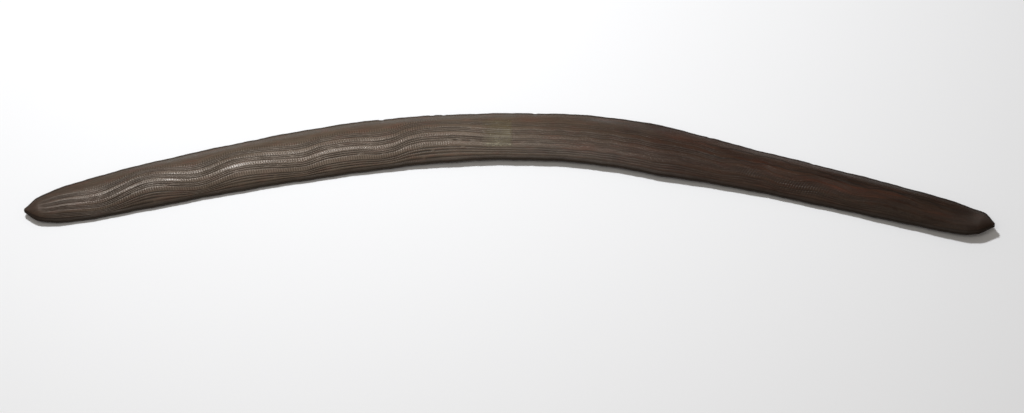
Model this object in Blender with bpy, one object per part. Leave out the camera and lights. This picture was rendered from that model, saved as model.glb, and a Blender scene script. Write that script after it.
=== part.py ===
"""Carved hardwood hunting boomerang, lying flat with its carved face up.

The wood is one bent blade. A thin patch of old varnish crosses its elbow, with a few
remains of pale paint on it. Metres, +Z up, +X from tip to tip, the hollow of the bend
towards -Y. The origin is the middle of the bounding box, on the surface it lies on.
"""

import math

import bmesh
import bpy
import numpy as np

# ---- the blade along its middle line ----
LEFT_ARM = 0.270            # left tip to the start of the elbow
ELBOW = 0.300               # the bent stretch
RIGHT_ARM = 0.298           # end of the elbow to the right tip

# Direction of the middle line in degrees, at a share of each stretch.
LEFT_DIRECTIONS = ((0.0, 6.0), (0.12, 17.8), (0.55, 15.7))
ELBOW_DIRECTIONS = ((0.0, 12.0), (0.33, 5.6), (0.67, -1.5), (1.0, -12.7))
RIGHT_DIRECTIONS = ((0.25, -13.9), (1.0, -18.3))

# ---- the blade across ----
TIP_WIDTH = 0.0024          # blunt end of each point
POINT_LENGTH = 0.013        # each arm ends in a short, straight-sided point

# Width at a distance in from each tip.
LEFT_WIDTHS = (
    (POINT_LENGTH, 0.0250), (0.040, 0.0374), (0.090, 0.0445), (0.180, 0.0490), (0.300, 0.0532),
)
RIGHT_WIDTHS = (
    (POINT_LENGTH, 0.0240), (0.045, 0.0334), (0.110, 0.0386), (0.165, 0.0412),
    (0.220, 0.0442), (0.272, 0.0508), (0.305, 0.0542),
)
ELBOW_WIDTH = 0.0514        # at the middle of the elbow

# ---- the blade through its thickness ----
THICKNESS = 0.0115          # at the crown of both arms and the elbow
TIP_THICKNESS = 0.0034
SHOULDER_THICKNESS = 0.0074  # where each point starts
NECK_THICKNESS = 0.0098      # at NECK_RUN in from each tip
NECK_RUN = 0.060
CROWN_RUN = 0.150           # the crown reaches its full height here
CROWN_POWER = 2.3           # 2 is a parabola across the top, more is flatter on top
EDGE_THICKNESS = 0.0034     # the rounded edge all the way round
EDGE_ROUND = 0.0020         # how far the rounding reaches in from the outline
FLAT_SHARE = 0.42           # the underside is flat over this share of its width

# ---- how it lies: heights above the surface ----
TIP_HEIGHT = 0.0040         # underside of the left point
SHOULDER_HEIGHT = 0.0020
BELLY_RUN = 0.045           # the underside comes down to the surface here
RIGHT_CURL = 0.0036         # the right arm's end curls up by this much more
CURL_RUN = 0.170
TIP_EDGE_HEIGHT = 0.0057    # middle of the edge, at the left tip
OUTER_EDGE_HEIGHT = 0.0046  # middle of the outer edge, everywhere else
LEFT_EDGE_HEIGHT = 0.0025   # middle of the inner edge, along the left arm
ELBOW_EDGE_HEIGHT = 0.0055
RIGHT_EDGE_HEIGHT = 0.0037

# ---- varnish and paint ----
SKIN_GAP = 0.0003           # clearance under each thin layer
VARNISH_OFFSET = 0.137      # from the start of the elbow, along the middle line
VARNISH_LENGTH = 0.029
VARNISH_INNER = -0.0155     # across the blade: 0 is its middle line, + the outer edge
VARNISH_OUTER = 0.0160
VARNISH_THICKNESS = 0.0003
PAINT_THICKNESS = 0.0003
STREAK_OFFSET = 0.0050      # along, from the start of the varnish
STREAK_INSET = 0.0016       # across, from the inner side of the varnish
STREAK_LENGTH = 0.0225
STREAK_WIDTH = 0.0024
DAB_SIZE = 0.0018

# Each dab of paint: how far along from the varnish's start, and across from its inner side.
DAB_PLACES = ((0.0252, 0.0096), (0.0084, 0.0118), (0.0128, 0.0066))

# ---- fineness of the solids ----
RING_STEP = 0.0110
POINT_RINGS = 5
TOP_STEPS = 10
BELLY_STEPS = 6
EDGE_STEPS = 3
SKIN_STEP = 0.0035
LINE_STEPS = 1200

BLADE_LENGTH = LEFT_ARM + ELBOW + RIGHT_ARM
ELBOW_MIDDLE = LEFT_ARM + 0.5 * ELBOW
RIGHT_START = LEFT_ARM + ELBOW
VARNISH_START = LEFT_ARM + VARNISH_OFFSET

DARK_HARDWOOD = ((0.042, 0.025, 0.016, 1.0), 0.45)
OLD_VARNISH = ((0.200, 0.125, 0.045, 1.0), 0.30)
PALE_PAINT = ((0.520, 0.440, 0.300, 1.0), 0.70)


def clear_scene():
    """Remove every object, so the model starts from nothing."""
    for item in list(bpy.data.objects):
        bpy.data.objects.remove(item, do_unlink=True)


def smooth_curve(rows):
    """Return a function passing smoothly through (place, value) rows, without overshoot."""
    places = np.array([row[0] for row in rows])
    values = np.array([row[1] for row in rows])
    steps = np.diff(places)
    slopes = np.diff(values) / steps
    tangents = np.zeros(len(rows))
    tangents[0] = slopes[0]
    tangents[-1] = slopes[-1]
    for i in range(1, len(rows) - 1):
        before, after = slopes[i - 1], slopes[i]
        if before * after > 0.0:
            weight_before = 2.0 * steps[i] + steps[i - 1]
            weight_after = steps[i] + 2.0 * steps[i - 1]
            tangents[i] = (weight_before + weight_after) / (weight_before / before + weight_after / after)

    def value_at(place):
        i = int(np.clip(np.searchsorted(places, place) - 1, 0, len(steps) - 1))
        t = float(np.clip((place - places[i]) / steps[i], 0.0, 1.0))
        leaving = values[i] + tangents[i] * steps[i] * t
        arriving = values[i + 1] - tangents[i + 1] * steps[i] * (1.0 - t)
        start = (values[i] * 2.0 * t + leaving) * (1.0 - t) ** 2
        end = (values[i + 1] * 2.0 * (1.0 - t) + arriving) * t ** 2
        return float(start + end)

    return value_at


def from_both_tips(left_rows, middle_rows, right_rows):
    """Join rows measured in from the left tip, along the blade, and in from the right tip."""
    turned = [(BLADE_LENGTH - place, value) for place, value in reversed(right_rows)]
    return list(left_rows) + list(middle_rows) + turned


def stretch_rows(start, length, rows):
    """Turn rows given as shares of a stretch into places along the blade."""
    return [(start + share * length, value) for share, value in rows]


direction_at = smooth_curve(
    stretch_rows(0.0, LEFT_ARM, LEFT_DIRECTIONS)
    + stretch_rows(LEFT_ARM, ELBOW, ELBOW_DIRECTIONS)
    + stretch_rows(RIGHT_START, RIGHT_ARM, RIGHT_DIRECTIONS)
)

width_at = smooth_curve(from_both_tips(
    ((0.0, TIP_WIDTH), *LEFT_WIDTHS),
    ((ELBOW_MIDDLE, ELBOW_WIDTH),),
    ((0.0, TIP_WIDTH), *RIGHT_WIDTHS),
))

THICKNESS_ROWS = (
    (0.0, TIP_THICKNESS), (POINT_LENGTH, SHOULDER_THICKNESS),
    (NECK_RUN, NECK_THICKNESS), (CROWN_RUN, THICKNESS),
)
thickness_at = smooth_curve(from_both_tips(THICKNESS_ROWS, (), THICKNESS_ROWS))

BELLY_ROWS = ((0.0, TIP_HEIGHT), (POINT_LENGTH, SHOULDER_HEIGHT), (BELLY_RUN, 0.0))
belly_at = smooth_curve(from_both_tips(BELLY_ROWS, (), BELLY_ROWS))
curl_at = smooth_curve(((0.0, 0.0), (BLADE_LENGTH - CURL_RUN, 0.0), (BLADE_LENGTH, RIGHT_CURL)))

outer_edge_at = smooth_curve(from_both_tips(
    ((0.0, TIP_EDGE_HEIGHT), (BELLY_RUN, OUTER_EDGE_HEIGHT)), (),
    ((0.0, TIP_EDGE_HEIGHT), (BELLY_RUN, OUTER_EDGE_HEIGHT)),
))
inner_edge_at = smooth_curve(from_both_tips(
    ((0.0, TIP_EDGE_HEIGHT), (BELLY_RUN, LEFT_EDGE_HEIGHT)),
    (
        (LEFT_ARM, LEFT_EDGE_HEIGHT), (ELBOW_MIDDLE, ELBOW_EDGE_HEIGHT),
        (RIGHT_START, ELBOW_EDGE_HEIGHT), (RIGHT_START + 0.5 * RIGHT_ARM, RIGHT_EDGE_HEIGHT),
    ),
    ((0.0, TIP_EDGE_HEIGHT), (BELLY_RUN, RIGHT_EDGE_HEIGHT)),
))


def trace_middle_line():
    """Step along the blade and return places, positions and directions, with the tips level on X."""
    places = np.linspace(0.0, BLADE_LENGTH, LINE_STEPS + 1)
    angles = np.radians([direction_at(place) for place in places])
    middles = 0.5 * (angles[1:] + angles[:-1])
    step = BLADE_LENGTH / LINE_STEPS
    x = np.concatenate([[0.0], np.cumsum(np.cos(middles) * step)])
    y = np.concatenate([[0.0], np.cumsum(np.sin(middles) * step)])
    tilt = math.atan2(y[-1], x[-1])
    turned_x = x * math.cos(tilt) + y * math.sin(tilt)
    turned_y = y * math.cos(tilt) - x * math.sin(tilt)
    return places, turned_x, turned_y, angles - tilt


LINE_PLACES, LINE_X, LINE_Y, LINE_ANGLES = trace_middle_line()


def to_space(place, across, height):
    """Turn a place along the blade, a distance across it and a height into a point."""
    x = float(np.interp(place, LINE_PLACES, LINE_X))
    y = float(np.interp(place, LINE_PLACES, LINE_Y))
    angle = float(np.interp(place, LINE_PLACES, LINE_ANGLES))
    return (x - across * math.sin(angle), y + across * math.cos(angle), height)


def inner_half_width(place):
    """Half the width between the two edge roundings."""
    half = 0.5 * width_at(place)
    return half - min(EDGE_ROUND, 0.5 * half)


def edge_height(place, side):
    """Height of the middle of the edge, with side -1 for the inner edge and +1 for the outer."""
    edge_at = outer_edge_at if side > 0 else inner_edge_at
    return edge_at(place) + curl_at(place)


def top_height(place, share):
    """Height of the carved face at a share of the half width, -1 to +1."""
    edge = edge_height(place, share) + 0.5 * EDGE_THICKNESS
    crown = belly_at(place) + curl_at(place) + thickness_at(place)
    return edge + (crown - edge) * (1.0 - abs(share) ** CROWN_POWER)


def belly_height(place, share):
    """Height of the underside: flat along the middle, rising or falling to each edge."""
    edge = edge_height(place, share) - 0.5 * EDGE_THICKNESS
    flat = belly_at(place) + curl_at(place)
    climb = max(abs(share) - FLAT_SHARE, 0.0) / (1.0 - FLAT_SHARE)
    return flat + (edge - flat) * climb ** 2


def round_edge(place, side, half, rounding):
    """Points of one edge rounding: down the outer edge (side +1) or up the inner one (side -1)."""
    points = []
    for step in range(1, EDGE_STEPS + 1):
        angle = math.pi * (0.5 - step / (EDGE_STEPS + 1))
        across = side * (half + rounding * math.cos(angle))
        height = edge_height(place, side) + side * 0.5 * EDGE_THICKNESS * math.sin(angle)
        points.append(to_space(place, across, height))
    return points


def blade_ring(place):
    """Points round the blade at one place: over the top, round the outer edge and back."""
    half = inner_half_width(place)
    rounding = 0.5 * width_at(place) - half
    points = []
    for share in np.linspace(-1.0, 1.0, TOP_STEPS + 1):
        points.append(to_space(place, half * share, top_height(place, share)))
    points += round_edge(place, 1, half, rounding)
    for share in np.linspace(1.0, -1.0, BELLY_STEPS + 1):
        points.append(to_space(place, half * share, belly_height(place, share)))
    points += round_edge(place, -1, half, rounding)
    return points


def ring_places():
    """Places of the rings: close together in the points, even along the rest."""
    inside = BLADE_LENGTH - 2.0 * POINT_LENGTH
    even = int(round(inside / RING_STEP))
    left = [POINT_LENGTH * i / POINT_RINGS for i in range(POINT_RINGS)]
    middle = [POINT_LENGTH + inside * i / even for i in range(even + 1)]
    right = [BLADE_LENGTH - place for place in reversed(left)]
    return left + middle + right


def add_piece(name, mesh_data, finish):
    """Turn a bmesh into a named object with its own material."""
    bmesh.ops.recalc_face_normals(mesh_data, faces=mesh_data.faces)
    mesh = bpy.data.meshes.new(name)
    mesh_data.to_mesh(mesh)
    mesh_data.free()
    mesh.shade_smooth()
    mesh.set_sharp_from_angle(angle=math.radians(50.0))
    colour, roughness = finish
    material = bpy.data.materials.new(name)
    material.use_nodes = True
    shader = material.node_tree.nodes["Principled BSDF"]
    shader.inputs["Base Color"].default_value = colour
    shader.inputs["Roughness"].default_value = roughness
    shader.inputs["Metallic"].default_value = 0.0
    mesh.materials.append(material)
    piece = bpy.data.objects.new(name, mesh)
    bpy.context.scene.collection.objects.link(piece)
    return piece


def loft(rings):
    """Skin a list of rings of points, and close both ends."""
    mesh_data = bmesh.new()
    loops = [[mesh_data.verts.new(point) for point in ring] for ring in rings]
    count = len(loops[0])
    for first, second in zip(loops, loops[1:]):
        for i in range(count):
            after = (i + 1) % count
            mesh_data.faces.new((first[i], first[after], second[after], second[i]))
    mesh_data.faces.new(loops[0])
    mesh_data.faces.new(list(reversed(loops[-1])))
    return mesh_data


def skin_layer(name, start, length, inner, outer, lift, thickness, finish):
    """A thin layer over the carved face, lift above it and following its curve."""
    along_steps = max(1, int(math.ceil(length / SKIN_STEP)))
    across_steps = max(1, int(math.ceil((outer - inner) / SKIN_STEP)))
    rings = []
    for i in range(along_steps + 1):
        place = start + length * i / along_steps
        half = inner_half_width(place)
        under = []
        for j in range(across_steps + 1):
            across = inner + (outer - inner) * j / across_steps
            under.append((across, top_height(place, across / half) + lift))
        over = [(across, height + thickness) for across, height in reversed(under)]
        rings.append([to_space(place, across, height) for across, height in under + over])
    return add_piece(name, loft(rings), finish)


def build_blade():
    """The whole wood: one loft from tip to tip."""
    rings = [blade_ring(place) for place in ring_places()]
    return add_piece("blade", loft(rings), DARK_HARDWOOD)


def build_varnish():
    """The patch of old varnish, its square end towards the right arm."""
    return skin_layer(
        "varnish_patch", VARNISH_START, VARNISH_LENGTH, VARNISH_INNER, VARNISH_OUTER,
        SKIN_GAP, VARNISH_THICKNESS, OLD_VARNISH,
    )


def build_paint():
    """A streak of pale paint along the varnish's inner side, and a few dabs beside it."""
    lift = SKIN_GAP + VARNISH_THICKNESS + SKIN_GAP
    streak_start = VARNISH_START + STREAK_OFFSET
    streak_inner = VARNISH_INNER + STREAK_INSET
    pieces = [skin_layer(
        "paint_streak", streak_start, STREAK_LENGTH, streak_inner, streak_inner + STREAK_WIDTH,
        lift, PAINT_THICKNESS, PALE_PAINT,
    )]
    for number, (along, across) in enumerate(DAB_PLACES, start=1):
        dab_inner = VARNISH_INNER + across
        pieces.append(skin_layer(
            f"paint_dab_{number}", VARNISH_START + along, DAB_SIZE, dab_inner, dab_inner + DAB_SIZE,
            lift, PAINT_THICKNESS, PALE_PAINT,
        ))
    return pieces


def settle(pieces):
    """Move every piece so the origin is under the middle of the wood's bounding box."""
    corners = np.array([vertex.co[:] for vertex in pieces[0].data.vertices])
    low, high = corners.min(axis=0), corners.max(axis=0)
    shift = np.array([-(low[0] + high[0]) / 2.0, -(low[1] + high[1]) / 2.0, -low[2]])
    for piece in pieces:
        for vertex in piece.data.vertices:
            vertex.co = np.array(vertex.co[:]) + shift


def main():
    clear_scene()
    pieces = [build_blade(), build_varnish(), *build_paint()]
    settle(pieces)


main()
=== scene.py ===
# %% [markdown]
# # A carved hardwood boomerang
#
# The real object is one bent length of dark, close-grained hardwood. Its maker split it from a branch that
# already had the bend, shaved it flat underneath and crowned on top, and then cut rows of fine grooves along
# the crowned face with a small hand tool. A little old varnish and pale paint is left across the elbow.
#
# This lesson builds the finished look around the plain solid from the design file. That solid is the frame:
# it says how big the boomerang is and where it lies. We start by loading it and keeping its box.

import math

import bpy
import numpy as np
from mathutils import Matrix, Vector, noise
from mathutils.bvhtree import BVHTree


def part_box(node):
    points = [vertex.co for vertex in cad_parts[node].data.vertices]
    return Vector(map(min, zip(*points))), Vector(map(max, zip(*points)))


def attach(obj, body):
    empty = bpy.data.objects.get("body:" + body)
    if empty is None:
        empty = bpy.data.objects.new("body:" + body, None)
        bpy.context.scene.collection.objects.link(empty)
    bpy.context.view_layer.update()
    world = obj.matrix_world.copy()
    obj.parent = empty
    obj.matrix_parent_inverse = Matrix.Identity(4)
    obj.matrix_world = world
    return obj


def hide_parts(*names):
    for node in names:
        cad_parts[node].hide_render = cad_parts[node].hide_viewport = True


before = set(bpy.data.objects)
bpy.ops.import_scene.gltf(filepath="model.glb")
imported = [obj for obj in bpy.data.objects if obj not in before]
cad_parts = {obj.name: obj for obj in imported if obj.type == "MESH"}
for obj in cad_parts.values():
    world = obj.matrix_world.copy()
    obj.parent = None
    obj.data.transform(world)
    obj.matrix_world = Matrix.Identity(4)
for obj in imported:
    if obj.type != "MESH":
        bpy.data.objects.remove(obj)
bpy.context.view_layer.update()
blade_low, blade_high = (np.array(corner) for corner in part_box("blade"))
print("solid blade, mm:", np.round((blade_high - blade_low) * 1000.0, 1))

# %% [markdown]
# ## The middle line of the blade
#
# A bowyer or a boomerang maker draws the middle line first and hangs everything else on it. Ours is given as
# the direction of the wood at a few places, like taking bearings along a path. Walking along those bearings
# gives the line itself. Between the places we want a curve that never overshoots, so that a straight arm
# stays straight: that is what this kind of cubic is good at.
#
# Most of the bearings here, and most of the widths in the next step, came from a separate program that fitted
# them to the real blade's outline. They were rounded afterwards, and the rest were set one by one.

# %% A smooth curve through a few rows
def smooth_curve(rows):
    """Return a function that passes smoothly through (place, value) rows, without overshoot."""
    places = np.array([row[0] for row in rows])
    values = np.array([row[1] for row in rows])
    steps = np.diff(places)
    slopes = np.diff(values) / steps
    tangents = np.zeros(len(rows))
    tangents[0], tangents[-1] = slopes[0], slopes[-1]
    for i in range(1, len(rows) - 1):
        before, after = slopes[i - 1], slopes[i]
        if before * after > 0.0:
            weight_before = 2.0 * steps[i] + steps[i - 1]
            weight_after = steps[i] + 2.0 * steps[i - 1]
            tangents[i] = (weight_before + weight_after) / (weight_before / before + weight_after / after)

    def value_at(place):
        i = np.clip(np.searchsorted(places, place) - 1, 0, len(steps) - 1)
        t = np.clip((place - places[i]) / steps[i], 0.0, 1.0)
        leaving = values[i] + tangents[i] * steps[i] * t
        arriving = values[i + 1] - tangents[i + 1] * steps[i] * (1.0 - t)
        start = (values[i] * 2.0 * t + leaving) * (1.0 - t) ** 2
        end = (values[i + 1] * 2.0 * (1.0 - t) + arriving) * t ** 2
        return start + end

    return value_at


# %% The middle line, tip to tip
LEFT_ARM = 0.270            # left tip to the start of the elbow
ELBOW = 0.300               # the bent stretch
RIGHT_ARM = 0.298           # end of the elbow to the right tip
BLADE_LENGTH = LEFT_ARM + ELBOW + RIGHT_ARM
ELBOW_MIDDLE = LEFT_ARM + 0.5 * ELBOW
RIGHT_START = LEFT_ARM + ELBOW

# Degrees at a share of each stretch.
LEFT_DIRECTIONS = ((0.0, 6.0), (0.12, 17.8), (0.55, 15.7))
ELBOW_DIRECTIONS = ((0.0, 12.0), (0.33, 5.6), (0.67, -1.5), (1.0, -12.7))
RIGHT_DIRECTIONS = ((0.25, -13.9), (1.0, -18.3))
LINE_STEPS = 1200


def stretch_rows(start, length, rows):
    """Turn rows given as shares of a stretch into places along the blade."""
    return [(start + share * length, value) for share, value in rows]


direction_at = smooth_curve(
    stretch_rows(0.0, LEFT_ARM, LEFT_DIRECTIONS)
    + stretch_rows(LEFT_ARM, ELBOW, ELBOW_DIRECTIONS)
    + stretch_rows(RIGHT_START, RIGHT_ARM, RIGHT_DIRECTIONS)
)

line_places = np.linspace(0.0, BLADE_LENGTH, LINE_STEPS + 1)
bearings = np.radians(direction_at(line_places))
paces = 0.5 * (bearings[1:] + bearings[:-1])
pace = BLADE_LENGTH / len(paces)
walk_x = np.concatenate([[0.0], np.cumsum(np.cos(paces) * pace)])
walk_y = np.concatenate([[0.0], np.cumsum(np.sin(paces) * pace)])
tilt = math.atan2(walk_y[-1], walk_x[-1])
line_x = walk_x * math.cos(tilt) + walk_y * math.sin(tilt)
line_y = walk_y * math.cos(tilt) - walk_x * math.sin(tilt)
line_angles = bearings - tilt
print("tip to tip, mm:", round(float(line_x[-1]) * 1000.0, 1))

# %% [markdown]
# ## Width, thickness and how it lies
#
# The same rows as in the design file: widths in from each tip, the crown's height, and the heights of both
# edges above the table. The inner edge hangs lower along the left arm than at the elbow, because the wood has
# warped a little, and the right tip curls up.

# %% Outline
TIP_WIDTH = 0.0024          # blunt end of each point
POINT_LENGTH = 0.013        # each arm ends in a short, straight-sided point
ELBOW_WIDTH = 0.0514        # at the middle of the elbow

# Width at a distance in from each tip.
LEFT_WIDTHS = (
    (0.0, TIP_WIDTH), (POINT_LENGTH, 0.0250), (0.040, 0.0374), (0.090, 0.0445), (0.180, 0.0490),
    (0.300, 0.0532),
)
RIGHT_WIDTHS = (
    (0.0, TIP_WIDTH), (POINT_LENGTH, 0.0240), (0.045, 0.0334), (0.110, 0.0386), (0.165, 0.0412),
    (0.220, 0.0442), (0.272, 0.0508), (0.305, 0.0542),
)


def from_both_tips(left_rows, middle_rows, right_rows):
    """Join rows measured in from the left tip, along the blade, and in from the right tip."""
    turned = [(BLADE_LENGTH - place, value) for place, value in reversed(right_rows)]
    return list(left_rows) + list(middle_rows) + turned


width_at = smooth_curve(from_both_tips(LEFT_WIDTHS, ((ELBOW_MIDDLE, ELBOW_WIDTH),), RIGHT_WIDTHS))
print("width at the middle, mm:", round(float(width_at(ELBOW_MIDDLE)) * 1000.0, 1))

# %% Thickness, and heights above the table
THICKNESS = 0.0115          # at the crown of both arms and the elbow
TIP_THICKNESS = 0.0034
SHOULDER_THICKNESS = 0.0074  # where each point starts
NECK_THICKNESS = 0.0098     # at NECK_RUN in from each tip
NECK_RUN = 0.060
CROWN_RUN = 0.150           # the crown reaches its full height here
CROWN_POWER = 2.3           # 2 is a parabola across the top, more is flatter on top
EDGE_THICKNESS = 0.0034
EDGE_ROUND = 0.0020         # how far the rounding reaches in from the outline
FLAT_SHARE = 0.42           # the underside is flat over this share of its width
TIP_HEIGHT = 0.0040         # underside of each point
SHOULDER_HEIGHT = 0.0020
BELLY_RUN = 0.045           # the underside comes down to the table here
RIGHT_CURL = 0.0036         # the right arm's end curls up by this much more
CURL_RUN = 0.170
TIP_EDGE_HEIGHT = 0.0057    # middle of the edge at the tips
OUTER_EDGE_HEIGHT = 0.0046
LEFT_EDGE_HEIGHT = 0.0025   # inner edge, along the left arm
ELBOW_EDGE_HEIGHT = 0.0055
RIGHT_EDGE_HEIGHT = 0.0037

CROWN_ROWS = (
    (0.0, TIP_THICKNESS), (POINT_LENGTH, SHOULDER_THICKNESS),
    (NECK_RUN, NECK_THICKNESS), (CROWN_RUN, THICKNESS),
)
BELLY_ROWS = ((0.0, TIP_HEIGHT), (POINT_LENGTH, SHOULDER_HEIGHT), (BELLY_RUN, 0.0))
OUTER_EDGE_ROWS = ((0.0, TIP_EDGE_HEIGHT), (BELLY_RUN, OUTER_EDGE_HEIGHT))
crown_at = smooth_curve(from_both_tips(CROWN_ROWS, (), CROWN_ROWS))
belly_at = smooth_curve(from_both_tips(BELLY_ROWS, (), BELLY_ROWS))
outer_edge_at = smooth_curve(from_both_tips(OUTER_EDGE_ROWS, (), OUTER_EDGE_ROWS))
curl_at = smooth_curve(((0.0, 0.0), (BLADE_LENGTH - CURL_RUN, 0.0), (BLADE_LENGTH, RIGHT_CURL)))
inner_edge_at = smooth_curve(from_both_tips(
    ((0.0, TIP_EDGE_HEIGHT), (BELLY_RUN, LEFT_EDGE_HEIGHT)),
    (
        (LEFT_ARM, LEFT_EDGE_HEIGHT), (ELBOW_MIDDLE, ELBOW_EDGE_HEIGHT),
        (RIGHT_START, ELBOW_EDGE_HEIGHT), (RIGHT_START + 0.5 * RIGHT_ARM, RIGHT_EDGE_HEIGHT),
    ),
    ((0.0, TIP_EDGE_HEIGHT), (BELLY_RUN, RIGHT_EDGE_HEIGHT)),
))
print("crown at the middle, mm:", round(float(crown_at(ELBOW_MIDDLE)) * 1000.0, 1))


def half_width_at(place):
    """Half the width between the two edge roundings."""
    half = 0.5 * width_at(place)
    return half - np.minimum(EDGE_ROUND, 0.5 * half)


def edge_height(place, side):
    """Middle of the edge: side below zero is the inner edge, above zero the outer one."""
    return np.where(side > 0.0, outer_edge_at(place), inner_edge_at(place)) + curl_at(place)


def top_height(place, share):
    """Height of the crowned face at a share of the half width."""
    edge = edge_height(place, share) + 0.5 * EDGE_THICKNESS
    crown = belly_at(place) + curl_at(place) + crown_at(place)
    return edge + (crown - edge) * (1.0 - np.abs(share) ** CROWN_POWER)


def belly_height(place, share):
    """Height of the underside, flat along its middle."""
    edge = edge_height(place, share) - 0.5 * EDGE_THICKNESS
    flat = belly_at(place) + curl_at(place)
    climb = np.maximum(np.abs(share) - FLAT_SHARE, 0.0) / (1.0 - FLAT_SHARE)
    return flat + (edge - flat) * climb ** 2


# %% [markdown]
# ## The maker's groove lines
#
# The grooves don't run straight. Along the left arm they drift slowly towards the inner edge and then swing
# back out, four times over, so that the carving seems to ripple. Across the elbow they run straight, and on
# the right arm they ripple again with a shorter beat. One curve holds that drift in metres. It fades to
# nothing at both edges, where the lines follow the outline. From the elbow rightwards the lines also waver by
# less than half a millimetre, by a rule.
#
# Where the lines swing back out, the tool was rocked from side to side as it went, so those stretches look
# beaded. The slope of the same curve tells us where they are.

# %% Drift of the groove lines
DRIFT_ROWS = (
    (0.000, 0.0), (0.030, 0.0), (0.066, -0.0050), (0.110, 0.0042), (0.154, -0.0052), (0.192, 0.0016),
    (0.212, 0.0000), (0.231, -0.0030), (0.247, -0.0046), (0.270, -0.0006), (0.283, -0.0002), (0.298, -0.0008),
    (0.3165, -0.0033), (0.328, -0.0022), (0.345, 0.0040), (0.360, 0.0060), (0.381, 0.0056), (0.405, 0.0028),
    (0.428, 0.0006), (0.540, 0.0004), (0.568, 0.0), (0.592, 0.0014), (0.616, -0.0010), (0.656, 0.0022),
    (0.683, -0.0014), (0.712, 0.0022), (0.741, -0.0014), (0.780, 0.0018), (0.804, -0.0008),
    (BLADE_LENGTH, 0.0),
)
drift_at = smooth_curve(DRIFT_ROWS)
WOBBLE = 0.00042
WOBBLE_PITCH = 0.026
WOBBLE_START = 0.40
WOBBLE_FADE = 0.06
EDGE_HOLD = 2.5             # more carries the drift closer to the edges
SWING_REACH = 0.002
QUIET_SLOPE = 0.08
SWING_SPREAD = 0.12


def rising(value, start, reach):
    """0 up to a start, then evenly up to 1 over a reach."""
    return np.clip((value - start) / reach, 0.0, 1.0)


def drifted(place, share):
    """Where a grid line really lies at one place, once it has drifted with the grooves."""
    beat = 2.0 * math.pi * place / WOBBLE_PITCH + 1.3 * np.sin(place * 37.0) + 1.8 * share
    wobble = WOBBLE * np.sin(beat) * rising(place, WOBBLE_START, WOBBLE_FADE)
    return share + (drift_at(place) + wobble) / half_width_at(place) * (1.0 - np.abs(share) ** EDGE_HOLD)


def swing_at(place):
    """0 where the lines run quietly, 1 where they swing out fastest."""
    ahead = drift_at(np.minimum(place + SWING_REACH, BLADE_LENGTH))
    behind = drift_at(np.maximum(place - SWING_REACH, 0.0))
    return rising((ahead - behind) / (2.0 * SWING_REACH), QUIET_SLOPE, SWING_SPREAD)


print("largest drift, mm:", round(float(np.abs(drift_at(line_places)).max()) * 1000.0, 1))

# %% [markdown]
# ## Grid lines across the face
#
# Across the face the pattern repeats: one flat rib, then three fine grooves, then the next rib. A smooth band
# along the outer edge was never carved. A mesh can only show a groove if its grid lines follow it, so the
# grid is laid out from the pattern: four steps for each groove and three for each rib. Each grid line also
# carries a count of grooves, whole numbers on the ridges and halves in the bottoms, to make the cut later.

# %% Layout of ribs and grooves
RIB_SPAN = 0.378            # one rib and its grooves, as a share of the half width
RIB_WIDTH = 0.146
MIDDLE_RIB = -0.204
GROOVE_STEPS = 4
RIB_STEPS = 3
GROOVE_SHARE = (RIB_SPAN - RIB_WIDTH) / (3 * GROOVE_STEPS)
FIRST_CUT = -0.985          # one narrow cut runs right beside the inner edge
FIRST_CUT_STEP = 0.0193
LAST_RIB = 0.70
LAST_GROOVE = 0.72
BAND_STEPS = 6              # grid lines over the uncarved outer band


def face_columns():
    """Rows of (share of the half width, groove count, 1 on a rib), from the inner edge to the outer one."""
    found = [(-1.0, 0.0, 0.0)]
    found += [(FIRST_CUT + FIRST_CUT_STEP * step, step / GROOVE_STEPS, 0.0) for step in range(GROOVE_STEPS)]
    share, count = MIDDLE_RIB - 2.0 * RIB_SPAN + 0.5 * RIB_WIDTH, 1
    while share < LAST_RIB:
        for step in range(3 * GROOVE_STEPS):
            if share + step * GROOVE_SHARE < LAST_GROOVE:
                found.append((share + step * GROOVE_SHARE, count + step / GROOVE_STEPS, 0.0))
        share += 3 * GROOVE_STEPS * GROOVE_SHARE
        count += 3
        for step in range(RIB_STEPS):
            if share < LAST_RIB:
                found.append((share + step * RIB_WIDTH / RIB_STEPS, float(count), 1.0 if step else 0.7))
        share += RIB_WIDTH
    last = found[-1][0]
    for step in range(1, BAND_STEPS + 1):
        found.append((last + (1.0 - last) * step / BAND_STEPS, float(count), 0.0))
    return np.array(found)


columns = face_columns()
print("grid lines across the face:", len(columns))

# %% Rows along the blade
BEAD_PITCH = 0.00216
FINE_STEP = BEAD_PITCH / 3.0
COARSE_STEP = 0.0012
FINE_UNTIL = 0.420
TIP_STEPS = [0.00004, 0.0002, 0.0005, 0.0009, 0.0014]

tip_rows = np.concatenate([TIP_STEPS, np.arange(0.0020, POINT_LENGTH - 0.0003, FINE_STEP)])
fine_rows = np.arange(POINT_LENGTH, FINE_UNTIL, FINE_STEP)
coarse_rows = np.arange(fine_rows[-1] + COARSE_STEP, BLADE_LENGTH - POINT_LENGTH - 0.0006, COARSE_STEP)
rows = np.concatenate([
    tip_rows, fine_rows, coarse_rows, [BLADE_LENGTH - POINT_LENGTH], BLADE_LENGTH - tip_rows[::-1],
])
print("rows along the blade:", len(rows))
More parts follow.
